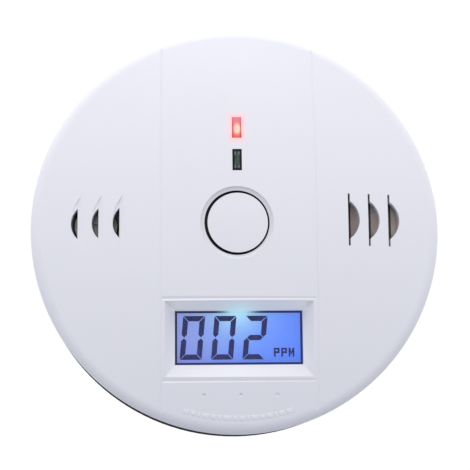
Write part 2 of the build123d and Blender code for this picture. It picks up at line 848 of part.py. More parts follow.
# ---- Display ----
def seven_segments(lit):
    """Outlines of the lit segments of one digit, centred on the origin, without the slant.

    The outer segments are mitred where they meet at the corners, and the middle one is pointed.
    """
    w = digit_width / 2
    h = digit_height / 2
    t = digit_stroke
    g = segment_gap / 2
    outlines = {
        "top": [(-w + g, h), (w - g, h), (w - t - g, h - t), (-w + t + g, h - t)],
        "upper_left": [(-w, h - g), (-w + t, h - t - g), (-w + t, t / 2 + g),
                       (-w + t / 2, g), (-w, t / 2 + g)],
        "middle": [(-w + t / 2 + g, 0), (-w + t + g, t / 2), (w - t - g, t / 2),
                   (w - t / 2 - g, 0), (w - t - g, -t / 2), (-w + t + g, -t / 2)],
    }
    outlines["upper_right"] = [(-x, y) for x, y in outlines["upper_left"]]
    outlines["lower_left"] = [(x, -y) for x, y in outlines["upper_left"]]
    outlines["lower_right"] = [(-x, -y) for x, y in outlines["upper_left"]]
    outlines["bottom"] = [(x, -y) for x, y in outlines["top"]]
    return [outlines[name] for name in lit]


def segments():
    zero = ("top", "upper_left", "upper_right", "lower_left", "lower_right", "bottom")
    two = ("top", "upper_right", "middle", "lower_left", "bottom")
    slant = math.tan(math.radians(digit_slant))
    layer = seat_height - polariser_thickness - glass_thickness - cell_gap / 2
    layer -= segment_thickness / 2
    solids = []
    for i, lit in enumerate((zero, zero, two)):
        centre_x = display_x + digit_x + i * digit_pitch
        centre_y = display_y + digit_y
        for outline in seven_segments(lit):
            points = [(centre_x + x + y * slant, centre_y + y) for x, y in outline]
            face = Plane.XY.offset(layer) * make_face(Polyline(*points, close=True))
            solids.append(extrude(face, segment_thickness))
    solids += unit_letters(layer)
    add("display_segments", *solids)


def bar(x0, y0, x1, y1):
    """A flat rectangle between two corners."""
    return Pos((x0 + x1) / 2, (y0 + y1) / 2) * Rectangle(x1 - x0, y1 - y0)


def letter_p():
    """A block letter P from its lower left corner."""
    w, h, t = letter_width, letter_height, letter_stroke
    strokes = bar(0, 0, t, h) + bar(0, h - t, w, h) + bar(w - t, h / 2, w, h)
    return strokes + bar(0, (h - t) / 2, w, (h + t) / 2)


def letter_m():
    """A block letter M from its lower left corner."""
    w, h, t = letter_width, letter_height, letter_stroke
    vee = make_face(Polyline(
        (0, h), (t, h), (w / 2, h / 2), (w - t, h), (w, h), (w / 2, h / 2 - letter_vee * t), close=True,
    ))
    return bar(0, 0, t, h) + bar(w - t, 0, w, h) + vee


def unit_letters(layer):
    """The unit, parts per million, as three plain block letters."""
    solids = []
    for i, letter in enumerate((letter_p(), letter_p(), letter_m())):
        x = display_x + unit_x + (i - 1.5) * letter_pitch
        y = display_y + unit_y - letter_height / 2
        solids.append(extrude(Plane.XY.offset(layer) * (Pos(x, y) * letter), segment_thickness))
    return solids


def display():
    z = seat_height - polariser_thickness
    view_w = glass_width - 2 * film_inset
    view_h = glass_height - 2 * film_inset
    add("lcd_front_polariser", block(view_w, view_h, polariser_thickness, display_x, display_y, z))
    z -= glass_thickness
    add("lcd_front_glass", block(glass_width, glass_height, glass_thickness, display_x, display_y, z))
    z -= cell_gap
    seal = block(glass_width, glass_height, cell_gap, display_x, display_y, z)
    seal -= block(glass_width - 2 * seal_width, glass_height - 2 * seal_width, cell_gap,
                  display_x, display_y, z)
    add("lcd_seal", seal)
    z -= glass_thickness
    add("lcd_rear_glass", block(glass_width, glass_height, glass_thickness, display_x, display_y, z))
    glass_back = z
    z -= polariser_thickness
    add("lcd_rear_polariser", block(view_w, view_h, polariser_thickness, display_x, display_y, z))
    z -= guide_thickness
    guide = block(view_w, view_h, guide_thickness, display_x, display_y, z)
    led_y = display_y + (view_h - backlight_led_height) / 2
    guide -= block(backlight_led_width + 2 * backlight_clearance, backlight_led_height + backlight_clearance,
                   guide_thickness, display_x, led_y, z)
    add("backlight_guide", guide)
    add("backlight_led", block(
        backlight_led_width, backlight_led_height - backlight_clearance,
        guide_thickness - 2 * backlight_led_inset, display_x, led_y, z + backlight_led_inset))
    tray_z = z - tray_floor
    tray = block(view_w + 2 * tray_wall, view_h + 2 * tray_wall, z + guide_thickness - tray_z,
                 display_x, display_y, tray_z)
    tray -= block(view_w, view_h, guide_thickness, display_x, display_y, z)
    for sx in (-1, 1):
        for sy in (-1, 1):
            x = display_x + sx * tray_foot_x
            y = display_y + sy * (view_h / 2 - tray_foot_inset)
            tray += block(tray_foot, tray_foot, tray_z - board_top, x, y, board_top)
    add("backlight_tray", tray)
    pins = []
    low = board_height - solder_tail
    for side in (-1, 1):
        y = display_y + side * (glass_height / 2 + lcd_pin_thick / 2)
        for i in range(lcd_pin_count):
            x = display_x + (i - (lcd_pin_count - 1) / 2) * lcd_pin_pitch
            pins.append(block(lcd_pin_width, lcd_pin_thick, glass_back + glass_thickness - low, x, y, low))
    add("lcd_pins", *pins)


# ---- Circuit board and its small parts ----
def board_holes():
    """Everything that passes through the board."""
    depth = board_thickness
    z = board_height
    holes = []
    notch = case_boss + boss_clearance
    way_out = board_radius + overcut - case_screw_radius
    for angle in case_screw_angles:
        x, y = polar(case_screw_radius, angle)
        holes.append(rod(notch, depth, x, y, z))
        middle_x, middle_y = polar(case_screw_radius + way_out / 2, angle)
        holes.append(Pos(middle_x, middle_y, z) * Rot(0, 0, angle) * block(way_out, 2 * notch, depth))
    for x in (-board_screw_x, board_screw_x):
        for y in (-board_screw_y, board_screw_y):
            holes.append(rod(screw_core + screw_clearance, depth, x, y, z))
    for y in (alarm_led_y, power_led_y):
        for side in (-1, 1):
            holes.append(pin_hole(0, y + side * led_lead_pitch / 2, led_lead, led_lead))
    for sx in (-1, 1):
        for sy in (-1, 1):
            holes.append(pin_hole(sx * switch_leg_x, sy * switch_leg_y, switch_leg_thick, switch_leg_width))
    for side in (-1, 1):
        y = display_y + side * (glass_height / 2 + lcd_pin_thick / 2)
        for i in range(lcd_pin_count):
            x = display_x + (i - (lcd_pin_count - 1) / 2) * lcd_pin_pitch
            holes.append(pin_hole(x, y, lcd_pin_width, lcd_pin_thick))
    for angle in sensor_pin_angles:
        dx, dy = polar(sensor_pin_circle, angle)
        holes.append(rod(sensor_pin_radius + pin_clearance, depth, sensor_x + dx, sensor_y + dy, z))
    for side in (-1, 1):
        holes.append(pin_hole(sounder_x + side * sounder_pin_x, sounder_y, pin_size, pin_size))
        holes.append(rod(lead_radius + pin_clearance, depth, *lead_end(side), z))
    return holes


def pin_hole(x, y, width, height):
    """A square hole for one pin."""
    return block(width + 2 * pin_clearance, height + 2 * pin_clearance, board_thickness, x, y, board_height)


def circuit_board():
    board = rod(board_radius, board_thickness, z=board_height)
    for hole in board_holes():
        board -= hole
    add("circuit_board", board)


def chip():
    body = block(chip_length, chip_width, chip_height, chip_x, chip_y, board_top + chip_standoff)
    body = chamfer(body.edges().group_by(Axis.Z)[-1], chip_chamfer)
    chip_top = board_top + chip_standoff + chip_height
    body -= rod(chip_dot_radius, chip_dot_depth, chip_x - chip_length / 2 + chip_dot_inset,
                chip_y - chip_width / 2 + chip_dot_inset, chip_top - chip_dot_depth)
    add("microcontroller", body)
    legs = []
    for side in (-1, 1):
        leg_y = chip_y + side * (chip_width + chip_leg_thick) / 2
        foot_y = chip_y + side * (chip_width + chip_foot_length) / 2
        for i in range(chip_leg_count):
            x = chip_x + (i - (chip_leg_count - 1) / 2) * chip_leg_pitch
            leg = block(chip_leg_width, chip_leg_thick, chip_leg_rise, x, leg_y, board_top)
            leg += block(chip_leg_width, chip_foot_length, chip_foot_thick, x, foot_y, board_top)
            legs.append(leg)
    add("microcontroller_legs", *legs)


def small_parts():
    can = rod(capacitor_radius, capacitor_height, capacitor_x, capacitor_y, board_top)
    can = fillet(can.edges().group_by(Axis.Z)[-1], capacitor_round)
    add("supply_capacitor", can)
    coil = rod(coil_radius, coil_height, coil_x, coil_y, board_top)
    coil -= ring(coil_radius + overcut, coil_core, coil_height - 2 * coil_cheek, coil_x, coil_y,
                 board_top + coil_cheek)
    add("sounder_coil", coil)
    crystal = block(crystal_length, crystal_width, crystal_height, crystal_x, crystal_y, board_top)
    crystal = fillet(crystal.edges().filter_by(Axis.Z), crystal_corner)
    add("clock_crystal", crystal)
    transistor = block(transistor_length, transistor_width, transistor_height, transistor_x, transistor_y,
                       board_top)
    for side_x, side_y in ((-1, -1), (1, -1), (0, 1)):
        transistor += block(transistor_leg_width, transistor_leg_length, transistor_leg_thick,
                            transistor_x + side_x * transistor_leg_x, transistor_y + side_y * transistor_leg_y,
                            board_top)
    add("sounder_transistor", transistor)
    chips = []
    for i in range(resistor_column_count):
        chips.append(block(resistor_length, resistor_width, resistor_height,
                           resistor_column_x, resistor_column_y - i * resistor_pitch, board_top))
    for i in range(resistor_row_count):
        chips.append(block(resistor_width, resistor_length, resistor_height,
                           resistor_row_x + i * resistor_pitch, resistor_row_y, board_top))
    add("chip_resistors", *chips)


# ---- Sounder and gas sensor ----
def sounder():
    seat = piezo_height
    housing = rod(sounder_radius, seat + piezo_thickness - board_top, sounder_x, sounder_y, board_top)
    housing -= rod(piezo_radius - sounder_ledge, body_depth, sounder_x, sounder_y, board_top + sounder_floor)
    housing -= rod(piezo_radius + sounder_clearance, overcut, sounder_x, sounder_y, seat)
    hole = pin_size + 2 * pin_clearance
    for side in (-1, 1):
        housing -= block(hole, hole, sounder_floor + 2 * overcut, sounder_x + side * sounder_pin_x, sounder_y,
                         board_top - overcut)
    add("piezo_housing", housing)
    add("sounder_guard", sounder_guard())
    add("piezo_disc", rod(piezo_radius, piezo_thickness, sounder_x, sounder_y, seat))
    ceramic_z = seat - ceramic_thickness
    add("piezo_ceramic", rod(ceramic_radius, ceramic_thickness, sounder_x, sounder_y, ceramic_z))
    contacts = []
    for side in (-1, 1):
        low = board_height - solder_tail
        contacts.append(block(pin_size, pin_size, ceramic_z - low, sounder_x + side * sounder_pin_x, sounder_y,
                              low))
    add("piezo_contacts", *contacts)


def sounder_guard():
    """Ring that holds down the rim of the disc, with a bar across under each vent."""
    low = sounder_top - guard_thickness
    guard = ring(sounder_radius, piezo_radius - sounder_ledge, guard_thickness, sounder_x, sounder_y, low)
    reach = piezo_radius - sounder_ledge / 2
    for i in range(vent_count):
        x = vent_first + i * vent_pitch + guard_bar_offset
        half = math.sqrt(reach ** 2 - (abs(x - sounder_x) + guard_bar / 2) ** 2)
        guard += block(guard_bar, 2 * half, guard_thickness - guard_relief, x, sounder_y, low + guard_relief)
    return guard


def gas_sensor():
    low = board_top + sensor_standoff
    can = rod(sensor_radius, sensor_height, sensor_x, sensor_y, low)
    can = fillet(can.edges().group_by(Axis.Z)[-1], sensor_round)
    add("gas_sensor_can", can)
    cap = rod(sensor_cap_radius, sensor_cap_height, sensor_x, sensor_y, low + sensor_height)
    cap = fillet(cap.edges().group_by(Axis.Z)[-1], sensor_cap_round)
    cap -= rod(sensor_hole_radius, sensor_cap_height, sensor_x, sensor_y,
               low + sensor_height + sensor_cap_floor)
    add("gas_sensor_cap", cap)
    pins = []
    tail = board_height - solder_tail
    for angle in sensor_pin_angles:
        dx, dy = polar(sensor_pin_circle, angle)
        pins.append(rod(sensor_pin_radius, low - tail, sensor_x + dx, sensor_y + dy, tail))
    add("gas_sensor_pins", *pins)


# ---- Batteries, springs, contacts and leads ----
def cell_side(i):
    """+1 where the positive tip of the cell points up, -1 where it points down."""
    return 1 if i % 2 == 0 else -1


def batteries():
    for i in range(cell_count):
        x = contact_x(i)
        side = cell_side(i)
        tip_end = side * (bay_half_y - contact_thickness)
        cell = Cylinder(cell_radius, cell_length)
        cell = fillet(cell.edges(), cell_round)
        cell += Pos(0, 0, (cell_length + tip_length) / 2) * Cylinder(tip_radius, tip_length)
        turn = Rot(-90, 0, 0) if side > 0 else Rot(90, 0, 0)
        centre_y = tip_end - side * (tip_length + cell_length / 2)
        add(f"battery_{i + 1}", Pos(x, centre_y, cell_axis) * turn * cell)
        add(f"battery_spring_{i + 1}", battery_spring(x, side))


def battery_spring(x, side):
    """The coil that pushes on the flat end of a cell."""
    plate_face = -side * (bay_half_y - contact_thickness)
    height = spring_length - spring_wire - 2 * spring_clearance
    coil = Helix(height / spring_turns, height, spring_radius)
    start = coil @ 0
    profile = Plane(start, z_dir=coil % 0) * Circle(spring_wire / 2)
    wire = sweep(profile, path=coil, is_frenet=True)
    turn = Rot(-90, 0, 0) if side > 0 else Rot(90, 0, 0)
    start_y = plate_face + side * (spring_wire / 2 + spring_clearance)
    return Pos(x, start_y, cell_axis) * turn * wire


def contact_x(i):
    """Middle of a cell along X."""
    return (i - (cell_count - 1) / 2) * cell_pitch


def battery_contacts():
    """Four sheet contacts: the two outer ends, and the two links between neighbours."""
    z = cell_axis - contact_height / 2
    places = (
        ("contact_positive", 1, 0, 0), ("contact_link_lower", -1, 0, 1),
        ("contact_link_upper", 1, 1, 2), ("contact_negative", -1, 2, 2),
    )
    for name, end, first, last in places:
        centre = (contact_x(first) + contact_x(last)) / 2
        span = contact_x(last) - contact_x(first) + contact_width
        y = end * (bay_half_y - contact_thickness / 2)
        plate = block(span, contact_thickness, contact_height, centre, y, z)
        plate = fillet(plate.edges().filter_by(Axis.Y), contact_corner)
        if first == last:
            plate += solder_tag(end, z)
        add(name, plate)


def solder_tag(end, z):
    """The tongue of an end contact that comes up through the ceiling of the bay."""
    x = -end * (contact_x(cell_count - 1) - lead_offset)
    y = end * (bay_half_y - contact_thickness / 2)
    top = bay_ceiling + bay_wall + 2 * lead_radius
    return block(tag_width, contact_thickness, top - z - contact_height / 2, x, y, z + contact_height / 2)


def lead_end(side):
    """Where a battery lead comes up through the board.

    The red lead (-1) is at the upper end of the bay, the black one (1) at the lower end.
    """
    x = side * (contact_x(cell_count - 1) - lead_offset)
    return (x, -side * (bay_half_y + bay_wall + lead_reach))


def battery_leads():
    """Insulated leads: out from a contact's solder tag, over the bay, and up through the board."""
    for name, side in (("battery_lead_red", -1), ("battery_lead_black", 1)):
        x, y = lead_end(side)
        level = bay_ceiling + bay_wall + lead_radius + lead_lift
        start = Vector(x, -side * bay_half_y, level)
        corner = Vector(x, y, level)
        end = Vector(x, y, board_top + lead_tail)
        bend = lead_bend_share * min((corner - start).length, (end - corner).length)
        path = FilletPolyline(start, corner, end, radius=bend)
        add(name, sweep(Plane(start, z_dir=corner - start) * Circle(lead_radius), path=path))
        print(f"{name}: bend radius {bend:.2f} mm")


def export_node(name, solids):
    """Turn a node upright, front towards -Y, and write it."""
    upright = [Rot(90, 0, 0) * solid for solid in solids]
    shape = upright[0] if len(upright) == 1 else Compound(children=upright)
    export_step(shape, f"parts/{name}.step")


def main():
    os.makedirs("parts", exist_ok=True)
    mounting_plate()
    base_housing()
    front_cover()
    fixings()
    test_button()
    test_switch()
    indicators()
    display()
    segments()
    circuit_board()
    chip()
    small_parts()
    sounder()
    gas_sensor()
    batteries()
    battery_contacts()
    battery_leads()
    for name, solids in nodes.items():
        export_node(name, solids)
        volume = sum(solid.volume for solid in solids)
        print(f"{name}: {len(solids)} solids, {volume:.1f} mm3")


if __name__ == "__main__":
    main()
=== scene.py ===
import math

import bmesh
import bpy
from mathutils import Matrix, Vector


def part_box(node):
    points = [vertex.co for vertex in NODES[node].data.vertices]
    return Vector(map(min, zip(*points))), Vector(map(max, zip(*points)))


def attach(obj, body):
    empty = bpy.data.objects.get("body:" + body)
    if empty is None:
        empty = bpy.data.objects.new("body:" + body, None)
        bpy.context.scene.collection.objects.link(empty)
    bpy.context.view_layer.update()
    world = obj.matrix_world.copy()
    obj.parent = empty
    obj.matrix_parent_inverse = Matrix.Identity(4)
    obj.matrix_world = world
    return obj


bl_info = {
    "name": "Carbon Monoxide Detector Looks",
    "version": (1, 0, 0),
    "blender": (4, 5, 0),
    "location": "3D View > Sidebar > Detector",
    "description": "Finishes, small printed and moulded pieces, and a stage for a round gas detector",
    "category": "Object",
}

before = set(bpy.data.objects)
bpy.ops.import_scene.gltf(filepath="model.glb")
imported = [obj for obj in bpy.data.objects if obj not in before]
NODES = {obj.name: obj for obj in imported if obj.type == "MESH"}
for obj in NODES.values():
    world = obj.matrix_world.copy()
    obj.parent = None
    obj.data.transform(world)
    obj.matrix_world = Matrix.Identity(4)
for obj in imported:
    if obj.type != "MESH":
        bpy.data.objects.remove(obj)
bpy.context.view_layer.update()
MM = 0.001

# Studio: light from straight above and from straight below, and what the camera sees behind the detector
SKY_LIGHT = (1.385, 1.39, 1.41)
UNDER_LIGHT = (0.355, 0.38, 0.455)
PAPER_WHITE = (1.02, 1.02, 1.02)
FLOOR_RADIUS = 0.32
FLOOR_PLACE = (0, 0.02, -0.16)
SOFTBOXES = (
    # name, place, aim, side, power
    ("key", (-0.04, -0.26, 0.50), (0, -0.03, 0), 0.40, 0.55),
    ("back_fill", (0.30, 0.40, 0.30), (0, 0, 0), 0.35, 0.4),
)
CAMERA_AZIMUTH = -3.0
CAMERA_ELEVATION = -8.8
CAMERA_ROLL = -0.5
CAMERA_PIVOT = (0, -0.028, 0)
CAMERA_DISTANCE = 0.272
CAMERA_AIM = (-0.2 * MM, 0, -1.6 * MM)          # from the pivot
CAMERA_LENS = 86.08
CAMERA_SENSOR = 36.0

# Painted shade on the walls of the gap round the test button
GAP_PAINTED_SHADE = (0.02, 0.02, 0.024)
HOLE_MIDDLE = (-0.15 * MM, 0, 0.05 * MM)        # from the middle of the button
HOLE_EDGE = (7.61 * MM, 7.69 * MM)
CAP_EDGE = (7.04 * MM, 7.09 * MM)

# Lit and unlit parts: how far light reaches, and the ends of each soft step
COVER_GLOW = 0.3
# Painted light: how far the lit lamp's pink reaches into the cover's colour
PAINTED_GLOW_REACH = 1.9 * MM
HALO_REACH = (2.4 * MM, 3.4 * MM)
CORE_MIDDLE = (0.1 * MM, -0.3 * MM)             # from the middle of the alarm light
CORE_REACH = (0.85 * MM, 1.25 * MM)
LAMP_TOP = (0.4 * MM, 1.7 * MM)                 # above the middle of the alarm light
LAMP_RIM = (0.70 * MM, 0.98 * MM)
LAMP_FOOT = (1.5 * MM, 2.1 * MM)
FRAME_SIDE = (0.45 * MM, 0.75 * MM)             # lead frame inside the power light
FRAME_END = (1.75 * MM, 2.2 * MM)
# Painted highlight at the corners of the power light's lead frame
GLINT_SIDE = (0.25 * MM, 0.4 * MM)
GLINT_END = (0.9 * MM, 1.6 * MM)
BACKLIGHT_MIDDLE = (-0.4 * MM, -0.8 * MM)       # from the middle of the emitter
BACKLIGHT_REACH = (5.0 * MM, 4.4 * MM)
MASK_REACH = (5.0 * MM, 3.4 * MM)
SPILL_REACH = (4.0 * MM, 1.6 * MM)
BEVEL_FOOT = (-0.1 * MM, 0.1 * MM)              # the bevel over the display, from its lower edge
BEVEL_TOP = (1.8 * MM, 2.1 * MM)
BEVEL_ENDS = (14.4 * MM, 17.2 * MM)
SPILL_DIM = (0.41, 0.43, 0.39)
SPILL_HOT = (0.30, 0.95, 0.95)

# Small pieces
MARK_SHARES = (1.1, 0.9, 0.5, 1.2, 1.0, 0.5, 1.5, 0.8, 1.0, 0.5, 1.2, 0.9, 1.1, 0.5, 1.0, 1.2)
MARK_GAP = 0.42 * MM
MARK_DEPTH = 0.3 * MM
MARK_INSET = 0.06 * MM
MARK_CROWN = 0.03 * MM
MARK_ROUND = 0.05 * MM
LABEL_LENGTH = 46.0 * MM
LABEL_SIDES = 96
LABEL_BAND = (15.5 * MM, 15.7 * MM)
LABEL_LINE = 14.6 * MM
LABEL_LINE_HALF = 0.25 * MM
FILM_SHARE = 0.9                                # a film's thickness, as a part of the space it has
SMOOTH_ANGLE = 35.0


# ---------------------------------------------------------------- sizes and colours

class DetectorSizes(bpy.types.PropertyGroup):
    mark_length: bpy.props.FloatProperty(
        name="Mark length", description="Length of one raised mark under the display",
        default=1.32 * MM, unit="LENGTH")
    mark_width: bpy.props.FloatProperty(
        name="Mark width", description="Width of one raised mark",
        default=1.05 * MM, unit="LENGTH")
    mark_height: bpy.props.FloatProperty(
        name="Mark height", description="How far a mark stands out of the cover",
        default=0.06 * MM, unit="LENGTH")
    mark_radius: bpy.props.FloatProperty(
        name="Mark circle", description="Radius of the circle that the marks lie on",
        default=45.3 * MM, unit="LENGTH")
    opening_width: bpy.props.FloatProperty(
        name="Opening width", description="Width of the opening that the display shows through",
        default=30.0 * MM, unit="LENGTH")
    opening_height: bpy.props.FloatProperty(
        name="Opening height", description="Height of that opening",
        default=12.6 * MM, unit="LENGTH")
    # The display border is a printed film that also stands in for painted shade in the gap under the
    # opening's lip
    mask_width: bpy.props.FloatProperty(
        name="Display border", description="Width of the dark border printed on the display",
        default=0.5 * MM, unit="LENGTH")
    mask_thickness: bpy.props.FloatProperty(
        name="Border thickness", description="Thickness of the printed border film",
        default=0.05 * MM, unit="LENGTH")
    label_thickness: bpy.props.FloatProperty(
        name="Label thickness", description="Thickness of the film label round each cell",
        default=0.08 * MM, unit="LENGTH")
    grain: bpy.props.FloatProperty(
        name="Shell grain", description="Size of the fine texture on the shells",
        default=0.45 * MM, unit="LENGTH")


class DetectorColours(bpy.types.PropertyGroup):
    shell: bpy.props.FloatVectorProperty(
        name="Shell", description="Bluish white of the mouldings",
        default=(0.805, 0.80, 0.845), subtype="COLOR", size=3)
    lamp_on: bpy.props.FloatVectorProperty(
        name="Alarm light", description="Glow of the lit red light",
        default=(0.62, 0.10, 0.07), subtype="COLOR", size=3)
    lamp_core: bpy.props.FloatVectorProperty(
        name="Alarm light core", description="Hot middle of the lit red light",
        default=(0.97, 0.69, 0.55), subtype="COLOR", size=3)
    lamp_halo: bpy.props.FloatVectorProperty(
        name="Alarm light halo", description="Light that the lit lamp throws on the cover",
        default=(1.0, 0.14, 0.16), subtype="COLOR", size=3)
    # Painted light: the cover's colour beside the lit lamp, where the lamp's light shows through the
    # plastic
    painted_lamp_glow: bpy.props.FloatVectorProperty(
        name="Alarm light blush", description="Cover plastic beside the lit lamp",
        default=(0.86, 0.60, 0.63), subtype="COLOR", size=3)
    lamp_top: bpy.props.FloatVectorProperty(
        name="Alarm light top", description="Dim upper end of the lit lens",
        default=(0.60, 0.19, 0.25), subtype="COLOR", size=3)
    lamp_off: bpy.props.FloatVectorProperty(
        name="Power light", description="Unlit green epoxy",
        default=(0.065, 0.10, 0.09), subtype="COLOR", size=3)
    backlight: bpy.props.FloatVectorProperty(
        name="Backlight", description="Main colour of the display's light",
        default=(0.095, 0.205, 0.90), subtype="COLOR", size=3)
    backlight_hot: bpy.props.FloatVectorProperty(
        name="Backlight at its emitter", description="Colour beside the emitter",
        default=(0.46, 0.80, 0.92), subtype="COLOR", size=3)
    ink: bpy.props.FloatVectorProperty(
        name="Segments", description="Dark segments of the display",
        default=(0.006, 0.008, 0.11), subtype="COLOR", size=3)
    brass: bpy.props.FloatVectorProperty(
        name="Sounder disc", description="Brass of the sounder disc",
        default=(0.96, 0.82, 0.74), subtype="COLOR", size=3)


# ---------------------------------------------------------------- shader arithmetic

class Value:
    """One output socket that takes part in ordinary arithmetic."""

    def __init__(self, finish, socket):
        self.finish = finish
        self.socket = socket

    def _math(self, operation, *values):
        return self.finish.node("ShaderNodeMath", {"operation": operation}, dict(enumerate(values)))

    def __add__(self, other):
        return self._math("ADD", self, other)

    __radd__ = __add__

    def __sub__(self, other):
        return self._math("SUBTRACT", self, other)

    def __rsub__(self, other):
        return self._math("SUBTRACT", other, self)

    def __mul__(self, other):
        return self._math("MULTIPLY", self, other)

    __rmul__ = __mul__

    def __truediv__(self, other):
        return self._math("DIVIDE", self, other)

    def __rtruediv__(self, other):
        return self._math("DIVIDE", other, self)

    def __pow__(self, other):
        return self._math("POWER", self, other)

    def __lt__(self, other):
        return self._math("LESS_THAN", self, other)

    def size(self):
        return self._math("ABSOLUTE", self)

    def wave(self):
        return self._math("SINE", self)

    def smooth(self, low, high):
        """0 below low, 1 above high, and a soft step between them."""
        return self.finish.node(
            "ShaderNodeMapRange", {"interpolation_type": "SMOOTHSTEP", "clamp": True},
            {"Value": self, "From Min": low, "From Max": high})


class Finish:
    """A procedural material on one Principled shader."""

    def __init__(self, name, **constants):
        self.material = bpy.data.materials.new(name)
        self.material.use_nodes = True
        self.tree = self.material.node_tree
        self.shader = self.tree.nodes["Principled BSDF"]
        for socket, value in constants.items():
            self.constant(socket.replace("_", " "), value)

    def constant(self, socket, value):
        if not isinstance(value, (int, float)):
            value = (*value, 1.0)
        self.shader.inputs[socket].default_value = value

    def node(self, kind, settings=None, inputs=None, output=0):
        """Any node: its type, its settings, the values or links of its sockets."""
        made = self.tree.nodes.new(kind)
        for name, setting in (settings or {}).items():
            setattr(made, name, setting)
        for name, value in (inputs or {}).items():
            self.feed(made.inputs[name], value)
        return Value(self, made.outputs[output])

    def feed(self, socket, value):
        if isinstance(value, Value):
            self.tree.links.new(value.socket, socket)
        elif isinstance(value, (int, float)):
            socket.default_value = value
        else:
            socket.default_value = value if len(value) == len(socket.default_value) else (*value, 1.0)

    def link(self, socket, value):
        self.feed(self.shader.inputs[socket], value)

    def linked(self, socket):
        """The value that feeds a socket already."""
        return Value(self, self.shader.inputs[socket].links[0].from_socket)

    def place(self):
        """Object coordinates, in metres."""
        return self.node("ShaderNodeTexCoord", output="Object")

    def axes(self):
        split = self.node("ShaderNodeSeparateXYZ", inputs={0: self.place()})
        outputs = split.socket.node.outputs
        return tuple(Value(self, outputs[i]) for i in range(3))

    def noise(self, size, detail=2.0, roughness=0.5, vector=None):
        return self.node(
            "ShaderNodeTexNoise", {},
            {"Vector": vector or self.place(), "Scale": 1.0 / size,
             "Detail": detail, "Roughness": roughness})

    def mix(self, factor, first, second):
        return self.node(
            "ShaderNodeMix", {"data_type": "RGBA", "clamp_factor": True},
            {0: factor, 6: first, 7: second}, output=2)

    def bump(self, height, strength, distance):
        normal = self.node(
            "ShaderNodeBump", {}, {"Height": height, "Strength": strength, "Distance": distance})
        self.link("Normal", normal)

    def stretch(self, x, y, z):
        """Object coordinates squeezed along each axis, for drawn or brushed grain."""
        return self.node("ShaderNodeMapping", {}, {"Vector": self.place(), "Scale": (x, y, z)})

    def put_on(self, *objects):
        for thing in objects:
            thing.data.materials.clear()
            thing.data.materials.append(self.material)


def glow_near(finish, centre, reach_x, reach_z):
    """1 at a point on the front, falling off with distance from it."""
    x, _, z = finish.axes()
    u = (x - centre[0]) / reach_x
    v = (z - centre[1]) / reach_z
    return 1.0 / (1.0 + u * u + v * v)


def round_about(finish, centre):
    """Distance from an axis that points out of the wall."""
    x, _, z = finish.axes()
    u = x - centre.x
    v = z - centre.z
    return (u * u + v * v) ** 0.5


def shade(colour, share):
    return tuple(c * share for c in colour)


def middle_of(node):
    low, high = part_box(node)
    return (low + high) / 2


# ---------------------------------------------------------------- finishes

def shell_finish(name, colour, grain, roughness, relief):
    """Moulded ABS: an even colour, faint flow variation, a fine texture and soft handling marks."""
    finish = Finish(name, IOR=1.5)
    cloud = finish.noise(28 * MM, 3.0)
    finish.link("Base Color", finish.mix(cloud, shade(colour, 0.965), colour))
    smear = finish.noise(9 * MM, 4.0, 0.6)
    finish.link("Roughness", roughness + (smear - 0.5) * 0.14)
    fine = finish.noise(grain, 2.0)
    wave = finish.noise(14 * MM, 1.0)
    finish.bump(fine * 0.12 + wave, relief, 0.05 * MM)
    return finish


def cover_finish(colours, sizes):
    """The front cover, with painted light and shade: a pink glow and blush round the lit lamp, the
    emitter's light on the bevel above the display, and dark walls in the gap round the test button.
    """
    finish = shell_finish("cover_plastic", colours.shell, sizes.grain, 0.34, 0.35)
    low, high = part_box("alarm_led")
    middle = (low + high) / 2
    half = (high - low) / 2
    x, _, z = finish.axes()
    # Painted light: the cover's colour turns pink near the lit lamp
    out_x = ((x - middle.x).size() - half.x).smooth(0.0, PAINTED_GLOW_REACH)
    out_z = ((z - middle.z).size() - half.z).smooth(0.0, PAINTED_GLOW_REACH)
    near = (1.0 - out_x) * (1.0 - out_z)
    halo = glow_near(finish, (middle.x, middle.z), *HALO_REACH) ** 2.0
    glowing = finish.mix(near * 0.85, finish.linked("Base Color"), colours.painted_lamp_glow)
    # Painted shade: the cover's colour goes dark on the walls of the hole round the button
    hole = middle_of("test_button") + Vector(HOLE_MIDDLE)
    gap = 1.0 - round_about(finish, hole).smooth(*HOLE_EDGE)
    finish.link("Base Color", finish.mix(gap, glowing, GAP_PAINTED_SHADE))
    lamp_light = finish.mix(halo * 0.5 + near * 0.5, (0, 0, 0), colours.lamp_halo)
    spill, spill_colour = display_spill(finish, sizes)
    finish.link("Emission Color", finish.mix(spill, lamp_light, spill_colour))
    finish.constant("Emission Strength", COVER_GLOW)
    return finish


def display_spill(finish, sizes):
    """The emitter's light on the bevel above the display: how much, and its colour."""
    emitter = middle_of("backlight_led")
    edge = middle_of("lcd_front_polariser").z + sizes.opening_height / 2
    x, _, z = finish.axes()
    over = (z - edge).smooth(*BEVEL_FOOT) * (1.0 - (z - edge).smooth(*BEVEL_TOP))
    along = 1.0 - (x - emitter.x).size().smooth(*BEVEL_ENDS)
    hot = glow_near(finish, (emitter.x, edge), *SPILL_REACH) ** 1.5
    return over * along, finish.mix(hot, SPILL_DIM, SPILL_HOT)


def button_finish(colours, sizes):
    """The test button: the cover's plastic, with painted shade darkening its side wall down in the gap.
    """
    finish = shell_finish("button_plastic", colours.shell, sizes.grain, 0.42, 0.2)
    # Painted shade: the button's side wall goes dark towards its edge
    side = round_about(finish, middle_of("test_button")).smooth(*CAP_EDGE)
    finish.link("Base Color", finish.mix(side, finish.linked("Base Color"), GAP_PAINTED_SHADE))
    return finish


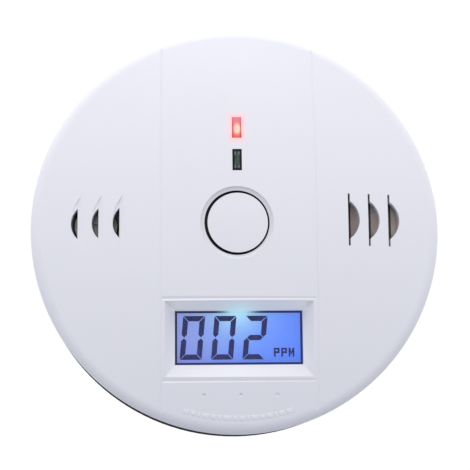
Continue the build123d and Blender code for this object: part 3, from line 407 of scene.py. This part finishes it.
def metal_finish(name, colour, roughness, scale, stretch):
    """Plated or drawn metal with a fine directional grain."""
    finish = Finish(name, Metallic=1.0)
    grain = finish.noise(scale, 3.0, 0.6, finish.stretch(*stretch))
    finish.link("Base Color", finish.mix(grain, shade(colour, 0.72), colour))
    finish.link("Roughness", roughness + (grain - 0.5) * 0.22)
    finish.bump(grain, 0.25, 0.02 * MM)
    return finish


def plastic_finish(name, colour, roughness, grain=0.3 * MM):
    """A plain technical moulding."""
    finish = Finish(name)
    cloud = finish.noise(grain * 12, 3.0)
    pale = tuple(min(1.0, c * 1.25 + 0.004) for c in colour)
    finish.link("Base Color", finish.mix(cloud, colour, pale))
    finish.link("Roughness", roughness + (cloud - 0.5) * 0.2)
    finish.bump(finish.noise(grain, 2.0), 0.3, 0.03 * MM)
    return finish


def board_finish():
    """Green solder mask over copper tracks."""
    finish = Finish("board_laminate", Coat_Roughness=0.2)
    x, _, z = finish.axes()
    wander = finish.noise(7 * MM, 2.0)
    track = ((x / (1.3 * MM) + wander * 5.0).wave() * (z / (1.7 * MM) + wander * 6.0).wave()).size()
    copper = track.smooth(0.52, 0.60)
    finish.link("Base Color", finish.mix(copper, (0.008, 0.085, 0.035), (0.02, 0.17, 0.06)))
    finish.link("Roughness", 0.32 + finish.noise(2 * MM, 3.0) * 0.15)
    finish.bump(copper, 0.5, 0.03 * MM)
    return finish


def film_finish(name, colour, alpha, roughness):
    """Clear glass or polariser film over something lit."""
    finish = Finish(name, IOR=1.5)
    dust = finish.noise(1.2 * MM, 4.0, 0.65)
    finish.constant("Base Color", colour)
    finish.link("Alpha", alpha + dust.smooth(0.62, 0.85) * 0.01)
    finish.link("Roughness", roughness + dust * 0.06)
    return finish


def backlight_finish(colours):
    """The lit light guide: blue, palest beside its emitter, violet towards the far side."""
    finish = Finish("light_guide", Roughness=0.5)
    emitter = middle_of("backlight_led")
    low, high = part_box("backlight_guide")
    x, _, z = finish.axes()
    across = (x - low.x) / (high.x - low.x)
    violet = (0.24, 0.27, 0.68)
    body = finish.mix(across.smooth(0.0, 0.75), violet, colours.backlight)
    source = (emitter.x + BACKLIGHT_MIDDLE[0], emitter.z + BACKLIGHT_MIDDLE[1])
    hot = glow_near(finish, source, *BACKLIGHT_REACH)
    lit = finish.mix(hot, body, colours.backlight_hot)
    edge = ((z - low.z) / (high.z - low.z)).smooth(0.0, 0.35)
    finish.link("Base Color", body)
    finish.link("Emission Color", finish.mix(0.80 + edge * 0.20, (0.03, 0.04, 0.2), lit))
    finish.constant("Emission Strength", 0.95)
    return finish


def mask_and_shade_finish(colours):
    """The printed border, which is also painted shade for the gap under the opening's lip, washed out by
    the emitter behind its upper edge.
    """
    finish = Finish("mask_ink_and_shade", Roughness=0.4)
    emitter = middle_of("backlight_led")
    glow = glow_near(finish, (emitter.x, emitter.z), *MASK_REACH) ** 2.0
    cloud = finish.noise(4 * MM, 2.0)
    # The border's near black is print and also painted shade of the gap under the opening's lip
    finish.link("Base Color", finish.mix(cloud, (0.006, 0.008, 0.06), (0.01, 0.012, 0.09)))
    finish.link("Emission Color", finish.mix(glow.smooth(0.12, 0.75), (0, 0, 0), colours.backlight_hot))
    finish.constant("Emission Strength", 0.85)
    return finish


def lit_lamp_finish(colours):
    """The red light, on: a wide peach spot in the middle, a dim rosy top and a red rim."""
    finish = Finish("red_lens", Roughness=0.22)
    middle = middle_of("alarm_led")
    x, _, z = finish.axes()
    core = glow_near(finish, (middle.x + CORE_MIDDLE[0], middle.z + CORE_MIDDLE[1]), *CORE_REACH)
    top = (z - middle.z).smooth(*LAMP_TOP)
    rim = (x - middle.x).size().smooth(*LAMP_RIM)
    foot = (middle.z - z).smooth(*LAMP_FOOT)
    body = finish.mix(top, colours.lamp_on, colours.lamp_top)
    lit = finish.mix(core.smooth(0.25, 0.8), body, colours.lamp_core)
    dark = finish.mix((rim * 0.6 + foot * rim * 0.6) * (1.0 - top * 0.5), lit, (0.30, 0.02, 0.02))
    finish.link("Base Color", (0.25, 0.03, 0.03))
    finish.link("Emission Color", dark)
    finish.constant("Emission Strength", 0.95)
    return finish


def dark_lamp_finish(colours):
    """The green light, off: dark epoxy with the pale lead frame showing dimly through it, a painted
    highlight at the frame's corners, and painted shade making the lens near black round its edges.
    """
    finish = Finish("green_lens", Roughness=0.25, Specular_IOR_Level=0.2)
    middle = middle_of("power_led")
    x, _, z = finish.axes()
    side = 1.0 - (x - middle.x).size().smooth(*FRAME_SIDE)
    ends = 1.0 - (z - middle.z).size().smooth(*FRAME_END)
    cloud = finish.noise(0.5 * MM, 2.0)
    # Painted highlight: pale patches at the corners of the lead frame
    glint = (x - middle.x).size().smooth(*GLINT_SIDE) * (z - middle.z).size().smooth(*GLINT_END)
    inner = finish.mix(cloud.smooth(0.3, 0.7), shade(colours.lamp_off, 0.55), colours.lamp_off)
    pale = finish.mix(glint * 0.6, inner, (0.26, 0.33, 0.31))
    # Outside the lead frame the lens is near black: dark epoxy, darkened further as painted shade of the
    # gap round the lens
    finish.link("Base Color", finish.mix(side * ends, (0.0012, 0.007, 0.006), pale))
    return finish


def brass_finish(colours):
    """Rolled brass, a little tarnished."""
    finish = Finish("disc_brass", Metallic=0.25)
    tarnish = finish.noise(3.5 * MM, 4.0, 0.6)
    dull = shade(colours.brass, 0.8)
    finish.link("Base Color", finish.mix(tarnish.smooth(0.3, 0.75), colours.brass, dull))
    finish.link("Roughness", 0.48 + tarnish * 0.2)
    finish.bump(finish.noise(0.4 * MM, 2.0, 0.5, finish.stretch(1, 1, 12)), 0.2, 0.02 * MM)
    return finish


def label_finish():
    """The cell's film label: dark body, copper-coloured band at the positive end, thin pale lines."""
    finish = Finish("battery_jacket", Roughness=0.24, Coat_Weight=0.3)
    _, _, z = finish.axes()
    band = (z + finish.noise(30 * MM, 1.0) * 0.2 * MM).size().smooth(*LABEL_BAND)
    line = (z.size() - LABEL_LINE).size() < LABEL_LINE_HALF
    base = finish.mix(band, (0.015, 0.02, 0.03), (0.48, 0.22, 0.08))
    finish.link("Base Color", finish.mix(line, base, (0.7, 0.7, 0.68)))
    finish.link("Metallic", band * 0.8)
    return finish


# ---------------------------------------------------------------- modelling helpers

def clear_selection():
    if bpy.context.object and bpy.context.object.mode != "OBJECT":
        bpy.ops.object.mode_set(mode="OBJECT")
    bpy.ops.object.select_all(action="DESELECT")


def pick_out(piece):
    """Selects one piece alone and makes it the active one."""
    clear_selection()
    piece.select_set(True)
    bpy.context.view_layer.objects.active = piece


def apply_modifier(piece, kind, **settings):
    """Adds a modifier to a piece and applies it."""
    pick_out(piece)
    modifier = piece.modifiers.new(kind.title(), kind)
    for name, value in settings.items():
        setattr(modifier, name, value)
    bpy.ops.object.modifier_apply(modifier=modifier.name)


def new_cube(name, centre, size, rotation=(0, 0, 0)):
    """A box of a size, at a place."""
    clear_selection()
    bpy.ops.mesh.primitive_cube_add(size=1.0, location=centre, rotation=rotation)
    piece = bpy.context.object
    piece.name = name
    piece.scale = size
    bpy.ops.object.transform_apply(location=False, rotation=False, scale=True)
    return piece


def settle(piece):
    """Puts the piece's place into its mesh and leaves its object at the origin."""
    pick_out(piece)
    bpy.ops.object.transform_apply(location=True, rotation=True, scale=True)
    return piece


def edit(piece):
    """Edit mode on one piece, with nothing selected."""
    pick_out(piece)
    bpy.ops.object.mode_set(mode="EDIT")
    bpy.ops.mesh.select_all(action="DESELECT")


def pick_faces(piece, test):
    """Selects the faces whose normal passes a test."""
    mesh = bmesh.from_edit_mesh(piece.data)
    mesh.faces.ensure_lookup_table()
    bpy.context.tool_settings.mesh_select_mode = (False, False, True)
    for face in mesh.faces:
        face.select_set(test(face.normal))
    mesh.select_flush(True)
    bmesh.update_edit_mesh(piece.data)


def end_edit():
    bpy.ops.object.mode_set(mode="OBJECT")


def smooth(piece):
    pick_out(piece)
    bpy.ops.object.shade_smooth_by_angle(angle=math.radians(SMOOTH_ANGLE))


def join(name, pieces):
    clear_selection()
    for piece in pieces:
        piece.select_set(True)
    bpy.context.view_layer.objects.active = pieces[0]
    bpy.ops.object.join()
    joined = bpy.context.object
    joined.name = name
    return joined


def on_cover(x, z):
    """The point and outward direction of the cover's front at a place seen from the front."""
    hit, point, normal, _ = NODES["front_cover"].ray_cast(Vector((x, -1.0, z)), Vector((0, 1, 0)))
    if not hit:
        raise RuntimeError(f"the cover has no surface at {x}, {z}")
    return point, normal


# ---------------------------------------------------------------- operators

class DETECTOR_OT_shells(bpy.types.Operator):
    """Finishes the cover, the base, the wall plate and the button"""
    bl_idname = "detector.shells"
    bl_label = "Shell finishes"

    def execute(self, context):
        sizes = context.scene.detector_sizes
        colours = context.scene.detector_colours
        cover_finish(colours, sizes).put_on(NODES["front_cover"])
        button_finish(colours, sizes).put_on(NODES["test_button"])
        base = shell_finish("base_plastic", colours.shell, sizes.grain, 0.46, 0.7)
        base.put_on(NODES["base_housing"])
        plate = shell_finish("plate_plastic", colours.shell, sizes.grain, 0.5, 0.8)
        plate.put_on(NODES["mounting_plate"])
        return {"FINISHED"}


class DETECTOR_OT_display(bpy.types.Operator):
    """Finishes the display's glass, films, segments, backlight and tray"""
    bl_idname = "detector.display"
    bl_label = "Display finishes"

    def execute(self, context):
        colours = context.scene.detector_colours
        glass = film_finish("display_glass", (0.5, 0.6, 1.0), 0.012, 0.03)
        glass.put_on(NODES["lcd_front_glass"], NODES["lcd_rear_glass"])
        film = film_finish("polariser_film", (0.2, 0.25, 0.7), 0.015, 0.22)
        film.put_on(NODES["lcd_front_polariser"])
        plastic_finish("segment_ink", colours.ink, 0.6).put_on(NODES["display_segments"])
        plastic_finish("seal_epoxy", (0.02, 0.025, 0.06), 0.5).put_on(NODES["lcd_seal"])
        backlight_finish(colours).put_on(NODES["backlight_guide"], NODES["lcd_rear_polariser"])
        emitter = plastic_finish("backlight_emitter", (0.5, 0.7, 1.0), 0.3)
        emitter.constant("Emission Strength", 1.0)
        emitter.constant("Emission Color", colours.backlight_hot)
        emitter.put_on(NODES["backlight_led"])
        plastic_finish("tray_plastic", (0.72, 0.72, 0.70), 0.5).put_on(NODES["backlight_tray"])
        return {"FINISHED"}


class DETECTOR_OT_lamps(bpy.types.Operator):
    """Finishes the red and green lights"""
    bl_idname = "detector.lamps"
    bl_label = "Lamp finishes"

    def execute(self, context):
        colours = context.scene.detector_colours
        lit_lamp_finish(colours).put_on(NODES["alarm_led"])
        dark_lamp_finish(colours).put_on(NODES["power_led"])
        return {"FINISHED"}


class DETECTOR_OT_works(bpy.types.Operator):
    """Finishes the circuit board, the sounder, the sensor, the cells and their metalwork"""
    bl_idname = "detector.works"
    bl_label = "Inner finishes"

    def execute(self, context):
        colours = context.scene.detector_colours
        steel = (0.62, 0.62, 0.60)
        board_finish().put_on(NODES["circuit_board"])
        metal_finish("screw_steel", steel, 0.32, 0.4 * MM, (1, 1, 1)).put_on(
            NODES["case_screws"], NODES["board_screws"])
        metal_finish("tinned_wire", (0.72, 0.71, 0.68), 0.28, 0.5 * MM, (1, 6, 1)).put_on(
            NODES["test_switch_legs"], NODES["led_leads"], NODES["lcd_pins"],
            NODES["microcontroller_legs"], NODES["gas_sensor_pins"])
        metal_finish("spring_steel", steel, 0.25, 0.5 * MM, (1, 1, 1)).put_on(
            NODES["battery_spring_1"], NODES["battery_spring_2"], NODES["battery_spring_3"],
            NODES["piezo_contacts"])
        metal_finish("contact_steel", steel, 0.3, 0.3 * MM, (1, 1, 8)).put_on(
            NODES["contact_positive"], NODES["contact_link_lower"],
            NODES["contact_link_upper"], NODES["contact_negative"])
        # The sensor's can and cap are darker than plain metal: partly their own grey, partly painted
        # shade inside the gas inlets
        metal_finish("sensor_metal", (0.34, 0.31, 0.30), 0.4, 0.6 * MM, (1, 10, 1)).put_on(
            NODES["gas_sensor_can"], NODES["gas_sensor_cap"])
        metal_finish("crystal_case", steel, 0.22, 0.6 * MM, (8, 1, 1)).put_on(NODES["clock_crystal"])
        brass_finish(colours).put_on(NODES["piezo_disc"])
        plastic_finish("piezo_ceramic", (0.72, 0.70, 0.64), 0.45).put_on(NODES["piezo_ceramic"])
        plastic_finish("black_plastic", (0.018, 0.018, 0.02), 0.42).put_on(
            NODES["test_switch_body"], NODES["switch_plunger"], NODES["led_spacers"],
            NODES["piezo_housing"], NODES["sounder_guard"])
        # Painted shade: the black seal ring stands in for the shadow line along the lower rim of the
        # cover
        plastic_finish("seal_rubber", (0.010, 0.010, 0.012), 0.62).put_on(NODES["rim_seal"])
        plastic_finish("chip_black", (0.02, 0.02, 0.022), 0.55, 0.12 * MM).put_on(
            NODES["microcontroller"], NODES["sounder_transistor"], NODES["chip_resistors"])
        plastic_finish("capacitor_sleeve", (0.03, 0.035, 0.07), 0.3).put_on(NODES["supply_capacitor"])
        plastic_finish("ferrite", (0.05, 0.048, 0.05), 0.65).put_on(NODES["sounder_coil"])
        plastic_finish("red_insulation", (0.45, 0.012, 0.01), 0.4).put_on(NODES["battery_lead_red"])
        plastic_finish("black_insulation", (0.015, 0.015, 0.015), 0.4).put_on(NODES["battery_lead_black"])
        metal_finish("battery_steel", steel, 0.26, 0.5 * MM, (1, 1, 1)).put_on(
            NODES["battery_1"], NODES["battery_2"], NODES["battery_3"])
        return {"FINISHED"}


class DETECTOR_OT_raised_marks(bpy.types.Operator):
    """Models the arc of small raised marks near the cover's lower edge"""
    bl_idname = "detector.raised_marks"
    bl_label = "Raised marks"

    def execute(self, context):
        sizes = context.scene.detector_sizes
        total = sum(MARK_SHARES) * sizes.mark_length + MARK_GAP * (len(MARK_SHARES) - 1)
        travelled = -total / 2
        marks = []
        for share in MARK_SHARES:
            length = share * sizes.mark_length
            angle = (travelled + length / 2) / sizes.mark_radius
            travelled += length + MARK_GAP
            x = sizes.mark_radius * math.sin(angle)
            z = -sizes.mark_radius * math.cos(angle)
            marks.append(self.mark(x, z, angle, length, sizes))
        piece = settle(join("raised_marks", marks))
        smooth(piece)
        colour = context.scene.detector_colours.shell
        shell_finish("mark_plastic", colour, sizes.grain, 0.34, 0.2).put_on(piece)
        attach(piece, "detector")
        return {"FINISHED"}

    def mark(self, x, z, angle, length, sizes):
        """One raised block on the cover, with a slightly crowned top."""
        point, normal = on_cover(x, z)
        tangent = Vector((math.cos(angle), 0, math.sin(angle)))
        across = normal.cross(tangent).normalized()
        tangent = across.cross(normal).normalized()
        turn = Matrix((tangent, across, normal)).transposed().to_euler()
        centre = point + normal * (sizes.mark_height - MARK_DEPTH / 2)
        piece = new_cube("mark", centre, (length, sizes.mark_width, MARK_DEPTH), turn)
        settle(piece)
        edit(piece)
        pick_faces(piece, lambda face_normal: face_normal.dot(normal) > 0.9)
        bpy.ops.mesh.inset(thickness=MARK_INSET, depth=MARK_CROWN)
        end_edit()
        apply_modifier(piece, "BEVEL", width=MARK_ROUND, segments=2, limit_method="ANGLE")
        return piece


class DETECTOR_OT_display_mask(bpy.types.Operator):
    """Models the dark border printed round the display, which also serves as painted shade in the gap
    under the opening's lip
    """
    bl_idname = "detector.display_mask"
    bl_label = "Display border"

    def execute(self, context):
        sizes = context.scene.detector_sizes
        low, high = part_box("lcd_front_polariser")
        centre = Vector(((low.x + high.x) / 2, low.y - sizes.mask_thickness, (low.z + high.z) / 2))
        clear_selection()
        bpy.ops.mesh.primitive_plane_add(size=1.0, location=centre, rotation=(math.pi / 2, 0, 0))
        piece = bpy.context.object
        piece.name = "display_mask"
        piece.scale = (sizes.opening_width, sizes.opening_height, 1.0)
        settle(piece)
        edit(piece)
        bpy.ops.mesh.select_all(action="SELECT")
        bpy.ops.mesh.inset(thickness=sizes.mask_width)
        bpy.ops.mesh.delete(type="FACE")
        end_edit()
        apply_modifier(piece, "SOLIDIFY", thickness=sizes.mask_thickness * FILM_SHARE)
        mask_and_shade_finish(context.scene.detector_colours).put_on(piece)
        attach(piece, "detector")
        return {"FINISHED"}


class DETECTOR_OT_cell_labels(bpy.types.Operator):
    """Models the film label round each cell"""
    bl_idname = "detector.cell_labels"
    bl_label = "Cell labels"

    def execute(self, context):
        sizes = context.scene.detector_sizes
        finish = label_finish()
        for index in (1, 2, 3):
            low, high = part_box(f"battery_{index}")
            centre = (low + high) / 2
            radius = (high.x - low.x) / 2 + sizes.label_thickness
            clear_selection()
            bpy.ops.mesh.primitive_cylinder_add(
                vertices=LABEL_SIDES, radius=radius, depth=LABEL_LENGTH, end_fill_type="NOTHING",
                location=centre)
            piece = bpy.context.object
            piece.name = f"cell_label_{index}"
            settle(piece)
            apply_modifier(piece, "SOLIDIFY", thickness=sizes.label_thickness * FILM_SHARE)
            smooth(piece)
            finish.put_on(piece)
            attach(piece, "detector")
        return {"FINISHED"}


class DETECTOR_OT_stage(bpy.types.Operator):
    """Sets the floor, the world, the studio lights and the camera"""
    bl_idname = "detector.stage"
    bl_label = "Stage"

    def execute(self, context):
        self.world(context.scene)
        self.floor()
        self.lights()
        self.camera(context.scene)
        context.scene.view_settings.view_transform = "Standard"
        return {"FINISHED"}

    def world(self, scene):
        """A white studio that the camera sees as plain white, lit mostly from overhead."""
        world = bpy.data.worlds.new("studio")
        scene.world = world
        world.use_nodes = True
        tree = world.node_tree
        background = tree.nodes["Background"]
        place = tree.nodes.new("ShaderNodeTexCoord")
        split = tree.nodes.new("ShaderNodeSeparateXYZ")
        tree.links.new(place.outputs["Generated"], split.inputs[0])
        sky = tree.nodes.new("ShaderNodeMapRange")
        tree.links.new(split.outputs[2], sky.inputs["Value"])
        sky.inputs["From Min"].default_value = -1.0
        sky.inputs["To Min"].default_value = 0.0
        sky.inputs["To Max"].default_value = 1.0
        light = tree.nodes.new("ShaderNodeMix")
        light.data_type = "RGBA"
        tree.links.new(sky.outputs[0], light.inputs[0])
        light.inputs[6].default_value = (*UNDER_LIGHT, 1.0)
        light.inputs[7].default_value = (*SKY_LIGHT, 1.0)
        path = tree.nodes.new("ShaderNodeLightPath")
        seen = tree.nodes.new("ShaderNodeMix")
        seen.data_type = "RGBA"
        tree.links.new(path.outputs["Is Camera Ray"], seen.inputs[0])
        tree.links.new(light.outputs[2], seen.inputs[6])
        seen.inputs[7].default_value = (*PAPER_WHITE, 1.0)
        tree.links.new(seen.outputs[2], background.inputs["Color"])
        background.inputs["Strength"].default_value = 1.0

    def floor(self):
        clear_selection()
        bpy.ops.mesh.primitive_circle_add(
            vertices=128, radius=FLOOR_RADIUS, fill_type="NGON", location=FLOOR_PLACE)
        floor = bpy.context.object
        floor.name = "floor"
        finish = Finish("floor_paper", Roughness=0.8)
        paper = finish.mix(finish.noise(6 * MM, 3.0), (0.86, 0.86, 0.87), (0.9, 0.9, 0.9))
        finish.link("Base Color", paper)
        finish.put_on(floor)
        floor.visible_diffuse = False
        floor.visible_glossy = False

    def lights(self):
        for box in SOFTBOXES:
            self.softbox(*box)

    def softbox(self, name, place, aim, size, power):
        lamp = bpy.data.lights.new(name, "AREA")
        lamp.shape = "SQUARE"
        lamp.size = size
        lamp.energy = power
        box = bpy.data.objects.new(name, lamp)
        bpy.context.scene.collection.objects.link(box)
        box.location = place
        direction = Vector(aim) - Vector(place)
        box.rotation_euler = direction.to_track_quat("-Z", "Y").to_euler()

    def camera(self, scene):
        """A little below and to the left of the detector's axis, rolled by half a degree."""
        azimuth = math.radians(CAMERA_AZIMUTH)
        elevation = math.radians(CAMERA_ELEVATION)
        pivot = Vector(CAMERA_PIVOT)
        back = Vector((math.sin(azimuth) * math.cos(elevation),
                       -math.cos(azimuth) * math.cos(elevation), math.sin(elevation)))
        data = bpy.data.cameras.new("camera")
        data.sensor_width = CAMERA_SENSOR
        data.lens = CAMERA_LENS
        camera = bpy.data.objects.new("camera", data)
        scene.collection.objects.link(camera)
        camera.location = pivot + back * CAMERA_DISTANCE
        aim = pivot + Vector(CAMERA_AIM)
        track = (aim - camera.location).to_track_quat("-Z", "Y")
        camera.rotation_mode = "QUATERNION"
        roll = Matrix.Rotation(math.radians(CAMERA_ROLL), 4, "Z").to_quaternion()
        camera.rotation_quaternion = track @ roll
        scene.camera = camera


OPERATORS = (
    DETECTOR_OT_shells, DETECTOR_OT_display, DETECTOR_OT_lamps, DETECTOR_OT_works,
    DETECTOR_OT_raised_marks, DETECTOR_OT_display_mask, DETECTOR_OT_cell_labels, DETECTOR_OT_stage,
)


class DETECTOR_PT_panel(bpy.types.Panel):
    """Sizes, colours and pieces of the detector"""
    bl_label = "Detector"
    bl_idname = "DETECTOR_PT_panel"
    bl_space_type = "VIEW_3D"
    bl_region_type = "UI"
    bl_category = "Detector"

    def draw(self, context):
        for group in (context.scene.detector_sizes, context.scene.detector_colours):
            for name in group.__annotations__:
                self.layout.prop(group, name)
        for operator in OPERATORS:
            self.layout.operator(operator.bl_idname)


CLASSES = (DetectorSizes, DetectorColours, *OPERATORS, DETECTOR_PT_panel)


def register():
    for item in CLASSES:
        bpy.utils.register_class(item)
    bpy.types.Scene.detector_sizes = bpy.props.PointerProperty(type=DetectorSizes)
    bpy.types.Scene.detector_colours = bpy.props.PointerProperty(type=DetectorColours)


def unregister():
    del bpy.types.Scene.detector_colours
    del bpy.types.Scene.detector_sizes
    for item in reversed(CLASSES):
        bpy.utils.unregister_class(item)


def main():
    register()
    bpy.ops.detector.shells()
    bpy.ops.detector.display()
    bpy.ops.detector.lamps()
    bpy.ops.detector.works()
    bpy.ops.detector.raised_marks()
    bpy.ops.detector.display_mask()
    bpy.ops.detector.cell_labels()
    bpy.ops.detector.stage()


if __name__ == "__main__":
    main()
